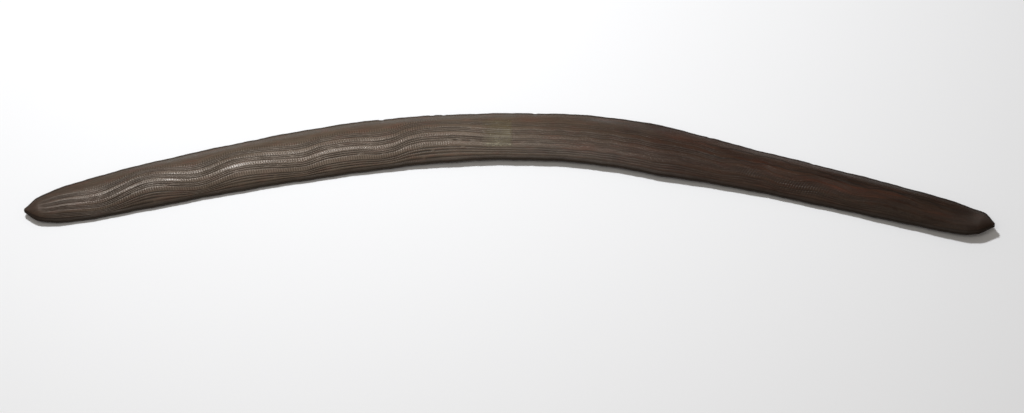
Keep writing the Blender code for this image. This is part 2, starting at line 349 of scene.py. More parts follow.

# %% [markdown]
# ## Where the wood is cut, rubbed and stained
#
# How deep the maker cut changes along the blade: deep on the left arm, shallower over the elbow and the
# right arm. The ends of the points were pared to a plain facet and never grooved. Ochre was once rubbed in,
# and some is left in a few smudges. Other spots are greyed by dust or crossed by fine ticks, and some are
# ridges rubbed pale by hands, which also carry painted glints of the soft box. Each spot is a place, a share
# across, a half length, a half width and a strength, so it can be moved like a real stain. Two long lines
# were scored along the right arm afterwards.

# %% Carving strength and stains
carving_at = smooth_curve((
    (0.0, 0.0), (POINT_LENGTH, 0.0), (0.018, 0.65), (0.035, 1.0), (0.385, 1.0), (0.430, 0.74), (0.520, 0.64),
    (0.600, 0.72), (0.740, 0.72), (0.815, 0.55), (0.846, 0.25), (0.856, 0.0),
    (BLADE_LENGTH, 0.0),
))
OCHRE = (
    (0.500, -0.52, 0.016, 0.20, 0.9), (0.449, 0.62, 0.010, 0.16, 0.8), (0.585, 0.58, 0.018, 0.20, 0.75),
    (0.664, 0.10, 0.022, 0.22, 0.5), (0.735, -0.10, 0.032, 0.26, 0.9), (0.772, 0.30, 0.018, 0.22, 0.7),
    (0.545, -0.30, 0.020, 0.20, 0.4), (0.815, -0.20, 0.018, 0.25, 0.4), (0.052, -0.45, 0.020, 0.30, 0.35),
    (0.126, 0.30, 0.016, 0.20, 0.35), (0.300, 0.48, 0.016, 0.20, 0.4), (0.345, 0.62, 0.030, 0.16, 0.3),
)
DUST = (
    (0.512, 0.80, 0.014, 0.10, 0.9), (0.352, 0.84, 0.050, 0.14, 0.8), (0.250, 0.86, 0.060, 0.12, 0.8),
    (0.150, 0.84, 0.050, 0.14, 0.8), (0.425, 0.88, 0.030, 0.10, 0.6), (0.855, 0.40, 0.008, 0.60, 0.8),
    (0.648, 0.72, 0.040, 0.16, 0.35), (0.545, 0.72, 0.045, 0.25, 0.45), (0.490, -0.75, 0.060, 0.28, 0.50),
)
TICKED = (
    (0.698, -0.56, 0.026, 0.32, 1.0), (0.650, -0.40, 0.010, 0.30, 0.6), (0.742, -0.38, 0.014, 0.28, 0.25),
)
# Ridges rubbed pale, set where the soft box glints on the polished ribs: their paleness is partly real wear
# and partly a painted highlight.
RUBBED_AND_GLINT_SPOTS = (
    (0.061, 0.14, 0.018, 0.16, 0.7), (0.095, -0.03, 0.014, 0.18, 0.35), (0.129, 0.26, 0.010, 0.20, 0.8),
    (0.138, -0.11, 0.018, 0.22, 0.65), (0.190, -0.22, 0.014, 0.26, 0.5), (0.218, -0.02, 0.022, 0.20, 1.0),
    (0.227, 0.28, 0.016, 0.12, 0.7), (0.248, -0.12, 0.016, 0.26, 0.9), (0.268, -0.25, 0.026, 0.34, 0.7),
    (0.292, -0.33, 0.016, 0.20, 1.0), (0.316, -0.36, 0.022, 0.20, 0.9), (0.318, 0.02, 0.022, 0.12, 0.8),
    (0.150, -0.52, 0.050, 0.25, 0.40), (0.212, -0.55, 0.035, 0.25, 0.50), (0.268, -0.62, 0.035, 0.22, 0.45),
    (0.330, -0.62, 0.035, 0.22, 0.35), (0.347, -0.17, 0.018, 0.16, 0.9), (0.390, 0.00, 0.030, 0.30, 0.45),
    (0.420, -0.50, 0.040, 0.30, 0.40),
)


def stain(places, shares, smudges):
    """How strongly a list of soft-edged smudges covers each point, 0 to 1."""
    total = np.zeros_like(places)
    for place, share, length, width, strength in smudges:
        distance = ((places - place) / length) ** 2 + ((shares - share) / width) ** 2
        total += strength * np.exp(-distance)
    return np.clip(total, 0.0, 1.0)


print("spots on the face:", len(OCHRE) + len(DUST) + len(TICKED) + len(RUBBED_AND_GLINT_SPOTS))

# %% Two long scored lines on the right arm
SCORED = (
    smooth_curve((
        (0.590, 0.02), (0.644, 0.12), (0.664, 0.22), (0.706, 0.30), (0.749, 0.30), (0.792, 0.58),
        (0.835, 0.66),
    )),
    smooth_curve((
        (0.560, 0.52), (0.610, 0.62), (0.664, 0.70), (0.706, 0.58), (0.745, 0.52), (0.835, 0.40),
    )),
)
SCORE_WIDTH = 0.0006
SCORE_START = 0.575
SCORE_FADE_IN = 0.04
SCORE_END = 0.84
SCORE_FADE_OUT = 0.03


def scored(places, shares):
    """1 in the middle of a scored line, falling to 0 within a millimetre."""
    total = np.zeros_like(places)
    for path_at in SCORED:
        path = path_at(places) + 0.035 * np.sin(places * 190.0) + 0.02 * np.sin(places * 431.0)
        total += np.exp(-((shares - path) * half_width_at(places) / SCORE_WIDTH) ** 2)
    kept = rising(places, SCORE_START, SCORE_FADE_IN) * rising(SCORE_END - places, 0.0, SCORE_FADE_OUT)
    return np.clip(total, 0.0, 1.0) * kept


print("scored lines:", len(SCORED))

# %% [markdown]
# ## The skin of the blade
#
# Rings of points go round the blade at every row: over the crowned face, round the outer edge, back along
# the flat underside and up the inner edge. The last millimetre at each tip rounds off and closes on a single
# point. Knife-cut wood is never quite even, so both edges wander by a few tenths of a millimetre, and the
# outer edge has a few small chips, most of them over the elbow.

# %% Chips and wander of the edges
CHIPS = (
    (0.322, 0.0020, 0.0006), (0.366, 0.0024, 0.0006), (0.376, 0.0016, 0.0005), (0.455, 0.0018, 0.0005),
    (0.212, 0.0024, 0.0003), (0.607, 0.0024, 0.0004), (0.701, 0.0018, 0.0003),
)
EDGE_ANGLES = np.radians([67.5, 22.5, -22.5, -67.5])
BELLY_SHARES = np.array([1.0, 0.86, 0.68, 0.42, 0.14, -0.14, -0.42, -0.68, -0.86, -1.0])
TIP_ROUND = 0.0010
RIGHT_TIP_LEAN = 0.0024     # the right point is cut a little towards the outer edge
INNER_SQUARENESS = 0.62     # below 1 the inner edge is a flat face with two small corners
CREASE_REACH = 0.007
LEFT_CREASE = 0.00050
RIGHT_CREASE = 0.00025


def edge_wander(place, side):
    """How far an edge lies in from its ideal line."""
    wander = 0.00022 * np.sin(place * 97.0 + side) + 0.00014 * np.sin(place * 231.0 + 2.0 * side)
    wander += 0.00006 * np.sin(place * 613.0 - side)
    if side > 0:
        for chip, length, depth in CHIPS:
            wander = wander + depth * np.exp(-((place - chip) / length) ** 4)
    return wander * np.clip(np.minimum(place, BLADE_LENGTH - place) / 0.010 - 0.3, 0.0, 1.0)


# %% Points of every ring
def facet(place):
    """How far a crease at the start of each point stands above the smooth profile."""
    inward = np.minimum(place, BLADE_LENGTH - place)
    crease = np.clip(1.0 - np.abs(inward - POINT_LENGTH) / CREASE_REACH, 0.0, 1.0)
    return np.where(place < ELBOW_MIDDLE, LEFT_CREASE, RIGHT_CREASE) * crease


def skin_points():
    """Points, and their layout values, of every ring as arrays of rows by points round the ring."""
    place = rows[:, None]
    half = half_width_at(place)
    rounding = 0.5 * width_at(place) - half
    parts = []
    shares = drifted(place, columns[None, :, 0])
    crowned = top_height(place, shares) + facet(place) * (1.0 - shares ** 2)
    parts.append((shares, half * shares, crowned, half * columns[None, :, 0]))
    for side, angles in ((1, EDGE_ANGLES), (-1, -EDGE_ANGLES)):
        square = INNER_SQUARENESS if side == -1 else 1.0
        out, up = np.cos(angles)[None, :], np.sin(angles)[None, :]
        across = side * (half + rounding * out ** square)
        rise = 0.5 * EDGE_THICKNESS * np.sign(up) * np.abs(up) ** square
        height = edge_height(place, np.array([[side]])) + rise
        parts.append((np.full_like(across, side), across, height, across))
        if side == 1:
            belly = np.repeat(BELLY_SHARES[None, :], len(rows), axis=0)
            parts.append((belly, half * belly, belly_height(place, belly), half * belly))
    share, across, height, flow = (np.concatenate([part[i] for part in parts], axis=1) for i in range(4))
    for side in (-1, 1):
        near_edge = rising(side * share, 0.70, 0.30) ** 2
        across = across - side * near_edge * edge_wander(place, side)
    lean = np.clip(1.0 - (BLADE_LENGTH - place) / (1.6 * POINT_LENGTH), 0.0, 1.0)
    across = across + RIGHT_TIP_LEAN * lean
    inward = np.minimum(place, BLADE_LENGTH - place)
    shrink = np.sqrt(1.0 - np.clip(1.0 - inward / TIP_ROUND, 0.0, 1.0) ** 2)
    middle = belly_at(place) + curl_at(place) + 0.5 * crown_at(place)
    return share, across * shrink, middle + (height - middle) * shrink, flow


share, across, height, flow = skin_points()
place = np.repeat(rows[:, None], share.shape[1], axis=1)
angle = np.interp(place, line_places, line_angles)
skin = np.stack([
    np.interp(place, line_places, line_x) - across * np.sin(angle),
    np.interp(place, line_places, line_y) + across * np.cos(angle),
    height,
], axis=2).reshape(-1, 3)
ring_count = share.shape[1]
print("points round the blade:", ring_count, "in all:", len(skin))

# %% Close the skin into one mesh
END_STEP = 0.00006          # the closing point stands this far past the last ring
low, high = skin.min(axis=0), skin.max(axis=0)
settle = (blade_low + blade_high - low - high) / 2.0
settle[2] = blade_low[2] - low[2]
ends = np.array([skin[:ring_count].mean(axis=0), skin[-ring_count:].mean(axis=0)])
ends[0, 0] -= END_STEP
ends[1, 0] += END_STEP
points = np.concatenate([skin, ends]) + settle

faces = []
for row in range(len(rows) - 1):
    start, after = row * ring_count, (row + 1) * ring_count
    for i in range(ring_count):
        j = (i + 1) % ring_count
        faces.append((start + i, after + i, after + j, start + j))
last_ring = (len(rows) - 1) * ring_count
for i in range(ring_count):
    j = (i + 1) % ring_count
    faces.append((len(skin), i, j))
    faces.append((len(skin) + 1, last_ring + j, last_ring + i))

skin_mesh = bpy.data.meshes.new("carved_blade_skin")
skin_mesh.from_pydata(points.tolist(), [], faces)
print("skin triangles:", sum(len(face) - 2 for face in faces))

# %% How strongly each point is carved, swung and worn
BAND_START = 0.40           # the carving fades out over the outer band
BAND_FADE = 0.28
TIP_STAIN_RUN = 0.055       # the ends are darkened over this length
LADDER_START = 0.042
LADDER_END = 0.385

on_top = np.arange(ring_count)[None, :] < len(columns)
plain_columns = ring_count - len(columns)
column_share = np.concatenate([columns[:, 0], np.ones(plain_columns)])
column_line = np.concatenate([columns[:, 1], np.zeros(plain_columns)])
column_rib = np.concatenate([columns[:, 2], np.zeros(plain_columns)])
band_fade = 1.0 - rising(column_share, BAND_START, BAND_FADE)
inner_fade = rising(share, -0.998, 0.03)
from_tip = np.minimum(place, BLADE_LENGTH - place)
near_tip = 0.75 * np.clip(1.0 - from_tip / TIP_STAIN_RUN, 0.0, 1.0)
near_tip = near_tip + 0.15 * rising(POINT_LENGTH - from_tip, 0.0, 0.002)
ladder = rising(LADDER_END - place, 0.0, 0.030) * rising(place, LADDER_START, 0.025)
# Darker edges: the inner edge faces away from the soft box and is darkened as painted shade, and both edges
# carry some grime from hands.
edge_grime_and_shade = rising(np.abs(share) + 0.10 * near_tip, 0.90, 0.10) ** 2 * np.where(share < 0.0, 1.0, 0.7)
carved = np.where(on_top, carving_at(place) * band_fade[None, :] * inner_fade, 0.0)
swing = np.where(on_top, swing_at(place) * (0.15 + 0.85 * ladder), 0.0)
print("points on the crowned face:", int(on_top.sum()) * len(rows))


# %% Store the layout on the points
def store(mesh, name, values, kind="FLOAT"):
    """Keep one value, or one vector, for every point of the mesh under a name."""
    values = np.asarray(values, dtype=float)
    if len(values) < len(mesh.vertices):
        values = np.concatenate([values, values[:1], values[-1:]])
    attribute = mesh.attributes.new(name, kind, "POINT")
    attribute.data.foreach_set("vector" if kind == "FLOAT_VECTOR" else "value", values.ravel())


# "lie" is where a point lies along, across and above. "flow" is the same before the grooves drift.
for name, sideways in (("lie", across), ("flow", flow)):
    store(skin_mesh, name, np.stack([place, sideways, height], axis=2).reshape(-1, 3), "FLOAT_VECTOR")
LAYOUT = {
    "line": np.repeat(column_line[None, :], len(rows), axis=0),
    "rib": column_rib[None, :] * np.minimum(carved * 2.0, 1.0) * ladder,
    "carved": carved, "swing": swing, "edge": edge_grime_and_shade, "tip": near_tip,
    "ochre": np.where(on_top, stain(place, share, OCHRE), 0.0),
    "ticked": np.where(on_top, stain(place, share, TICKED), 0.0),
    # The rubbed spots also mark where painted glints lie.
    "rubbed_and_glint": np.where(on_top, stain(place, share, RUBBED_AND_GLINT_SPOTS), 0.0),
    "scored": np.where(on_top, scored(place, share), 0.0),
    "dust": np.where(on_top, stain(place, share, DUST), 0.0),
}
for name, values in LAYOUT.items():
    store(skin_mesh, name, values.ravel())
print("values stored on the points:", ", ".join(LAYOUT))

blade = bpy.data.objects.new("carved_blade", skin_mesh)
bpy.context.scene.collection.objects.link(blade)

# %% [markdown]
# ## Cutting the grooves with Geometry Nodes
#
# The grooves are one rule repeated along every line, which is what Geometry Nodes are good at. The tree
# reads the layout stored on the points and pushes each point into the wood along its normal. A cosine of the
# groove count gives a rounded cut between two ridges. Noise makes every stroke a little deeper or shallower,
# and lifts the tool out of the wood now and then. Where the lines swing, beads are pressed along the cuts,
# and the ribs get short cross ticks like the rungs of a ladder. The sizes are named inputs, so that a reader
# can turn the depth up and see what it does.

# %% Helpers for wiring nodes
def wire(tree, socket, source):
    """Feed a socket from another socket, or set it to a plain value."""
    if isinstance(source, bpy.types.NodeSocket):
        tree.links.new(source, socket)
    else:
        socket.default_value = source


def maths(tree, operation, *terms, clamp=False):
    """One arithmetic step. Terms are sockets or numbers."""
    node = tree.nodes.new("ShaderNodeMath")
    node.operation = operation
    node.use_clamp = clamp
    for socket, term in zip(node.inputs, terms):
        wire(tree, socket, term)
    return node.outputs[0]


def times(tree, first, *others, clamp=False):
    """Terms multiplied together, with only the last product clamped."""
    for other in others[:-1]:
        first = maths(tree, "MULTIPLY", first, other)
    return maths(tree, "MULTIPLY", first, others[-1], clamp=clamp)


def weighed(tree, *parts):
    """A sum of parts, each times its weight."""
    (part, weight), *rest = parts
    total = times(tree, part, weight)
    for part, weight in rest:
        total = maths(tree, "MULTIPLY_ADD", part, weight, total)
    return total


def cosine(tree, turns):
    """A wave that is 1 at every whole turn and -1 half way between."""
    return maths(tree, "COSINE", times(tree, turns, 2.0 * math.pi))


def ramp(tree, value, low, high, to_low=0.0, to_high=1.0):
    """Spread a value from one range over another, and hold it there."""
    node = tree.nodes.new("ShaderNodeMapRange")
    ends = {"Value": value, "From Min": low, "From Max": high, "To Min": to_low, "To Max": to_high}
    for name, term in ends.items():
        wire(tree, node.inputs[name], term)
    return node.outputs["Result"]


def vector(tree, x=0.0, y=0.0, z=0.0):
    """Three numbers or sockets as one vector."""
    node = tree.nodes.new("ShaderNodeCombineXYZ")
    for socket, term in zip(node.inputs, (x, y, z)):
        wire(tree, socket, term)
    return node.outputs[0]


def grit(tree, place, scale=1.0, detail=2.0, roughness=0.5):
    """Soft noise between 0 and 1."""
    node = tree.nodes.new("ShaderNodeTexNoise")
    wire(tree, node.inputs["Vector"], place)
    node.inputs["Scale"].default_value = scale
    node.inputs["Detail"].default_value = detail
    node.inputs["Roughness"].default_value = roughness
    return node.outputs[0]


# %% Read the stored layout inside the tree
carving = bpy.data.node_groups.new("carving", "GeometryNodeTree")
carving.interface.new_socket(name="Geometry", in_out="INPUT", socket_type="NodeSocketGeometry")
CARVING_SIZES = {
    "Groove Depth": 0.00030, "Bead Depth": 0.00014, "Ladder Depth": 0.00022, "Bead Pitch": BEAD_PITCH,
    "Tool Shake": 0.00022, "Seed": 7.0,
}
for name in CARVING_SIZES:
    carving.interface.new_socket(name=name, in_out="INPUT", socket_type="NodeSocketFloat")
carving.interface.new_socket(name="Finish", in_out="INPUT", socket_type="NodeSocketMaterial")
carving.interface.new_socket(name="Geometry", in_out="OUTPUT", socket_type="NodeSocketGeometry")
given = carving.nodes.new("NodeGroupInput").outputs
result = carving.nodes.new("NodeGroupOutput")


def stored(name, kind="FLOAT"):
    """A named value of the points, as a socket."""
    node = carving.nodes.new("GeometryNodeInputNamedAttribute")
    node.data_type = kind
    node.inputs["Name"].default_value = name
    return node.outputs["Attribute"]


lie_parts = carving.nodes.new("ShaderNodeSeparateXYZ")
wire(carving, lie_parts.inputs[0], stored("lie", "FLOAT_VECTOR"))
along_blade, across_blade = lie_parts.outputs[0], lie_parts.outputs[1]
line, rib, cut, swings = stored("line"), stored("rib"), stored("carved"), stored("swing")

# %% Depth of the grooves, stroke by stroke
hollow = maths(carving, "MULTIPLY_ADD", cosine(carving, line), -0.5, 0.5)
stroke = maths(carving, "FLOOR", maths(carving, "ADD", line, 0.01))


def stroke_noise(length, spread, third, detail=1.0):
    """Noise that changes along the blade over a length, and from one stroke to the next."""
    along = maths(carving, "DIVIDE", along_blade, length)
    return grit(carving, vector(carving, along, times(carving, stroke, spread), third), 1.0, detail)


pressure = ramp(carving, stroke_noise(0.022, 5.3, given["Seed"]), 0.3, 0.7, 0.72, 1.22)
lifting = stroke_noise(0.009, 3.1, maths(carving, "ADD", given["Seed"], 9.0), 0.0)
touching = ramp(carving, lifting, 0.24, 0.32, 0.45, 1.0)
groove = times(carving, hollow, times(carving, pressure, touching), cut)
groove_cut = times(carving, groove, given["Groove Depth"])

# %% Beads where the lines swing, rungs on the ribs
RUNG_SLANT = 0.45
RUNG_SHAKE = 3.0
beat = maths(carving, "DIVIDE", along_blade, given["Bead Pitch"])
staggered = maths(carving, "ADD", beat, times(carving, stroke, 0.5))
bead = maths(carving, "MULTIPLY_ADD", cosine(carving, staggered), 0.5, 0.5)
off_rib = maths(carving, "SUBTRACT", 1.0, rib, clamp=True)
bead = times(carving, bead, cut, times(carving, swings, off_rib))
bead_cut = times(carving, bead, given["Bead Depth"])

slant = maths(carving, "ADD", along_blade, times(carving, across_blade, RUNG_SLANT))
slant_beat = times(carving, maths(carving, "DIVIDE", slant, given["Bead Pitch"]), 2.0 * math.pi)
slant_beat = maths(carving, "MULTIPLY_ADD", stroke_noise(0.006, 1.0, 5.0), RUNG_SHAKE, slant_beat)
rung = maths(carving, "MULTIPLY_ADD", maths(carving, "COSINE", slant_beat), 0.5, 0.5)
rung_press = ramp(carving, stroke_noise(0.030, 2.7, 3.0), 0.40, 0.60, 0.15, 1.0)
rung_cut = times(carving, rung, rib, rung_press, given["Ladder Depth"])

# %% Shake of the shaving tool, and the finished surface
SHAKE_LENGTH = 0.045
SHAKE_WIDTH = 0.0075
shake_place = vector(
    carving, maths(carving, "DIVIDE", along_blade, SHAKE_LENGTH),
    maths(carving, "DIVIDE", across_blade, SHAKE_WIDTH), given["Seed"],
)
shake = maths(carving, "SUBTRACT", grit(carving, shake_place, 1.0, 1.0), 0.40)
shake = times(carving, shake, given["Tool Shake"])
depth = maths(
    carving, "ADD", maths(carving, "ADD", groove_cut, bead_cut), maths(carving, "ADD", rung_cut, shake),
)

push = carving.nodes.new("ShaderNodeVectorMath")
push.operation = "SCALE"
wire(carving, push.inputs[0], carving.nodes.new("GeometryNodeInputNormal").outputs[0])
wire(carving, push.inputs["Scale"], maths(carving, "MULTIPLY", depth, -1.0))
shape = carving.nodes.new("GeometryNodeSetPosition")
wire(carving, shape.inputs["Geometry"], given["Geometry"])
wire(carving, shape.inputs["Offset"], push.outputs[0])
keep = carving.nodes.new("GeometryNodeStoreNamedAttribute")
keep.data_type = "FLOAT"
keep.domain = "POINT"
keep.inputs["Name"].default_value = "groove"
wire(carving, keep.inputs["Geometry"], shape.outputs[0])
wire(carving, keep.inputs["Value"], groove)
real = carving.nodes.new("GeometryNodeRealizeInstances")
wire(carving, real.inputs[0], keep.outputs[0])
finish = carving.nodes.new("GeometryNodeSetMaterial")
wire(carving, finish.inputs["Geometry"], real.outputs[0])
wire(carving, finish.inputs["Material"], given["Finish"])
wire(carving, result.inputs[0], finish.outputs[0])

# %% Carve, and keep the result as a plain mesh
def new_finish(name):
    """A new material, its tree and its main shader."""
    material = bpy.data.materials.new(name)
    material.use_nodes = True
    return material, material.node_tree, material.node_tree.nodes["Principled BSDF"]


def set_inputs(modifier, values):
    """Set a modifier's inputs by the identifiers of the tree's sockets."""
    for item in modifier.node_group.interface.items_tree:
        if item.item_type == "SOCKET" and item.in_out == "INPUT" and item.name in values:
            modifier[item.identifier] = values[item.name]


def made_plain(piece):
    """Swap a piece's mesh for what its modifiers make of it, and drop the modifiers."""
    evaluated = piece.evaluated_get(bpy.context.evaluated_depsgraph_get())
    plain = bpy.data.meshes.new_from_object(evaluated)
    piece.modifiers.clear()
    piece.data = plain
    plain.name = piece.name
    return plain


wood, wood_tree, gloss = new_finish("carved_hardwood")
modifier = blade.modifiers.new("carving", "NODES")
modifier.node_group = carving
set_inputs(modifier, {**CARVING_SIZES, "Finish": wood})
carved_mesh = made_plain(blade)
carved_mesh.shade_smooth()
corners = np.array([vertex.co[:] for vertex in carved_mesh.vertices])
print("carved blade, mm:", np.round((corners.max(axis=0) - corners.min(axis=0)) * 1000.0, 1))
print("below the table, mm:", round(float(min(corners[:, 2].min(), 0.0)) * 1000.0, 3))
for vertex in carved_mesh.vertices:
    vertex.co.z = max(vertex.co.z, 0.0)

# %% [markdown]
# ## Old varnish and paint over the elbow
#
# At some time somebody brushed a small square of varnish across the elbow and dabbed pale paint on it. Both
# are thin films that follow every groove under them, so each is made like a film: a grid of points is
# dropped onto the carved face from above, and the film gets its lower side just clear of the wood and its
# upper side a little higher. A ragged outline keeps it from looking like a sticker. Film and wood stay
# separate pieces, because the real ones can be cleaned off.

# %% Drop points onto the carved face
carved_tree = BVHTree.FromPolygons(
    [vertex.co[:] for vertex in carved_mesh.vertices],
    [polygon.vertices[:] for polygon in carved_mesh.polygons],
)


def on_face(place, across):
    """The point of the carved face at a place and a distance across, and the way it faces."""
    angle = float(np.interp(place, line_places, line_angles))
    x = float(np.interp(place, line_places, line_x)) - across * math.sin(angle) + settle[0]
    y = float(np.interp(place, line_places, line_y)) + across * math.cos(angle) + settle[1]
    point, normal, _, _ = carved_tree.ray_cast(Vector((x, y, 0.05)), Vector((0.0, 0.0, -1.0)))
    return point, normal


# %% A film of any outline
FILM_STEP = 0.00045
FILM_RIM = 0.1              # share of a film over which its rim thins
RIM_THICKNESS = 0.25        # of the full thickness


def lay_film(name, start, length, inner_at, outer_at, lift, thickness, columns_across, fade=None):
    """A closed film on the carved face, between two edges given at each share of its length."""
    count = max(6, int(round(length / FILM_STEP)))
    upper, lower, cover, lie = [], [], [], []
    for i in range(count + 1):
        share = i / count
        inner, outer = inner_at(share), outer_at(share)
        for j in range(columns_across + 1):
            side = j / columns_across
            place, across = start + share * length, inner + (outer - inner) * side
            point, normal = on_face(place, across)
            edge = min(1.0, min(share, 1.0 - share, side, 1.0 - side) / FILM_RIM)
            swell = RIM_THICKNESS + (1.0 - RIM_THICKNESS) * edge
            upper.append(point + normal * (lift + thickness * swell))
            lower.append(point + normal * lift)
            cover.append(edge * fade(share, side) if fade else edge)
            lie.append((place, across, point.z))
    across_count, total = columns_across + 1, len(upper)
    quads = []
    for i in range(count):
        for j in range(columns_across):
            a, b = i * across_count + j, (i + 1) * across_count + j
            quads.append((a, b, b + 1, a + 1))
            quads.append((total + a, total + a + 1, total + b + 1, total + b))
    rim = list(range(across_count))
    rim += [i * across_count + columns_across for i in range(1, count + 1)]
    rim += [count * across_count + j for j in range(columns_across - 1, -1, -1)]
    rim += [i * across_count for i in range(count - 1, 0, -1)]
    for a, b in zip(rim, rim[1:] + rim[:1]):
        quads.append((a, b, total + b, total + a))
    mesh = bpy.data.meshes.new(name)
    mesh.from_pydata([tuple(point) for point in upper + lower], [], quads)
    store(mesh, "lie", lie + lie, "FLOAT_VECTOR")
    store(mesh, "cover", cover + cover)
    mesh.shade_smooth()
    film = bpy.data.objects.new(name, mesh)
    bpy.context.scene.collection.objects.link(film)
    return film


def wavering(value, spread, seed):
    """An edge at one distance across that wavers by a few tenths of a millimetre."""
    def edge_at(share):
        slow = noise.noise(Vector((share * 9.0, seed, 0.0)))
        quick = noise.noise(Vector((share * 27.0, seed, 4.0)))
        return value + spread * (slow + 0.5 * quick)
    return edge_at


# %% The square of varnish
VARNISH_START = LEFT_ARM + 0.137
VARNISH_LENGTH = 0.029
VARNISH_INNER = -0.0155
VARNISH_OUTER = 0.0160
VARNISH_LIFT = 0.00006
VARNISH_THICKNESS = 0.00006
VARNISH_COLUMNS = 70


def varnish_fade(share, side):
    """The varnish is thickest on the right and the inner side, and thins to the left and outwards."""
    return min(1.0, 0.15 + share / 0.55) * min(1.0, 1.35 - 0.85 * side)


varnish = lay_film(
    "varnish_square", VARNISH_START, VARNISH_LENGTH, wavering(VARNISH_INNER, 0.0011, 1.0),
    wavering(VARNISH_OUTER, 0.0012, 2.0), VARNISH_LIFT, VARNISH_THICKNESS, VARNISH_COLUMNS,
    varnish_fade,
)
print("varnish faces:", len(varnish.data.polygons))

# %% Paint: one dragged streak and three dabs
PAINT_LIFT = VARNISH_LIFT + VARNISH_THICKNESS + 0.00003
PAINT_THICKNESS = 0.00012
PAINT_COLUMNS = 8
STREAK_START = VARNISH_START + 0.0050
STREAK_LENGTH = 0.0225
STREAK_INNER = VARNISH_INNER + 0.0016
STREAK_WIDTH = 0.0024
DABS = ((0.0252, 0.0096), (0.0084, 0.0118), (0.0128, 0.0066))
DAB_SIZE = 0.0018

streak = lay_film(
    "dragged_paint", STREAK_START, STREAK_LENGTH, wavering(STREAK_INNER, 0.0005, 3.0),
    wavering(STREAK_INNER + STREAK_WIDTH, 0.0007, 5.0), PAINT_LIFT, PAINT_THICKNESS, PAINT_COLUMNS,
)
dabs = []
for number, (along, inward) in enumerate(DABS, start=1):
    middle = VARNISH_INNER + inward + 0.5 * DAB_SIZE

    def bow(share, middle=middle, side=1.0):
        return middle + side * 0.5 * DAB_SIZE * math.sqrt(max(1.0 - (2.0 * share - 1.0) ** 2, 0.02))

    dabs.append(lay_film(
        f"paint_speck_{number}", VARNISH_START + along, DAB_SIZE,
        lambda share, bow=bow: bow(share, side=-1.0), bow, PAINT_LIFT, PAINT_THICKNESS, PAINT_COLUMNS,
    ))
print("paint pieces:", 1 + len(dabs))

# %% [markdown]
# ## Shared finishes as shader groups
#
# Four effects are built once as groups: fine fibres that run with the blade, soft blotches, a darkening that
# stands for grime and for painted shade in cuts and on edges, and the short slanted dashes left by a rocked
# tool. They read where a point lies along and across the blade, so the grain bends with the wood as it does
# in a branch that grew bent.

# %% Start a shader group
def start_group(name, inputs, outputs):
    """An empty shader group with float, vector or colour sockets."""
    group = bpy.data.node_groups.new(name, "ShaderNodeTree")
    kinds = {"value": "NodeSocketFloat", "vector": "NodeSocketVector", "colour": "NodeSocketColor"}
    for title, kind in inputs:
        group.interface.new_socket(name=title, in_out="INPUT", socket_type=kinds[kind])
    for title, kind in outputs:
        group.interface.new_socket(name=title, in_out="OUTPUT", socket_type=kinds[kind])
    return group, group.nodes.new("NodeGroupInput").outputs, group.nodes.new("NodeGroupOutput").inputs


def scaled(tree, place, x, y, z):
    """A place divided by three lengths, so that noise of scale 1 has that size."""
    node = tree.nodes.new("ShaderNodeVectorMath")
    node.operation = "DIVIDE"
    wire(tree, node.inputs[0], place)
    wire(tree, node.inputs[1], vector(tree, x, y, z))
    return node.outputs[0]


def mixed(tree, share, first, second, blend="MIX"):
    """Mix two colours."""
    node = tree.nodes.new("ShaderNodeMix")
    node.data_type = "RGBA"
    node.blend_type = blend
    wire(tree, node.inputs[0], share)
    wire(tree, node.inputs[6], first)
    wire(tree, node.inputs[7], second)
    return node.outputs[2]


# %% The four groups
# Near-black, used both for grime and for painted shade.
GRIME_AND_SHADE = (0.009, 0.006, 0.0045, 1.0)
fibres, take, give = start_group(
    "long_fibres", (("Lie", "vector"), ("Length", "value"), ("Width", "value")), (("Fibre", "value"),))
lain = scaled(fibres, take["Lie"], take["Length"], take["Width"], take["Width"])
wire(fibres, give["Fibre"], ramp(fibres, grit(fibres, lain, 1.0, 3.0, 0.6), 0.30, 0.70))

blotches, take, give = start_group(
    "soft_blotches", (("Lie", "vector"), ("Length", "value"), ("Width", "value"), ("Cover", "value")),
    (("Mask", "value"),))
lain = scaled(blotches, take["Lie"], take["Length"], take["Width"], take["Width"])
threshold = maths(blotches, "SUBTRACT", 0.72, times(blotches, take["Cover"], 0.40))
wire(blotches, give["Mask"], ramp(
    blotches, grit(blotches, lain, 1.0, 4.0, 0.62), threshold, maths(blotches, "ADD", threshold, 0.16)))

# Darkens a colour by an amount: used for real grime and for painted shade in groove hollows and on the inner
# edge.
grime_and_shade, take, give = start_group(
    "grime_and_shade_in_cuts", (("Colour", "colour"), ("Cut", "value"), ("Amount", "value")), (("Colour", "colour"),))
held = times(grime_and_shade, take["Cut"], take["Amount"], clamp=True)
wire(grime_and_shade, give["Colour"], mixed(grime_and_shade, held, take["Colour"], GRIME_AND_SHADE))

dashes, take, give = start_group(
    "slanted_dashes", (("Lie", "vector"), ("Line", "value"), ("Pitch", "value")), (("Dash", "value"),))
parts = dashes.nodes.new("ShaderNodeSeparateXYZ")
wire(dashes, parts.inputs[0], take["Lie"])
row = maths(dashes, "FLOOR", maths(dashes, "ADD", take["Line"], 0.01))
lean = maths(dashes, "MULTIPLY_ADD", maths(dashes, "MODULO", row, 2.0), 0.8, -0.4)
beat = maths(dashes, "MULTIPLY_ADD", row, 0.5, maths(dashes, "DIVIDE", parts.outputs[0], take["Pitch"]))
beat = maths(dashes, "MULTIPLY_ADD", maths(dashes, "SUBTRACT", take["Line"], row), lean, beat)
wire(dashes, give["Dash"], ramp(dashes, cosine(dashes, beat), -0.1, 0.8))
print("shader groups:", [group.name for group in (fibres, blotches, grime_and_shade, dashes)])

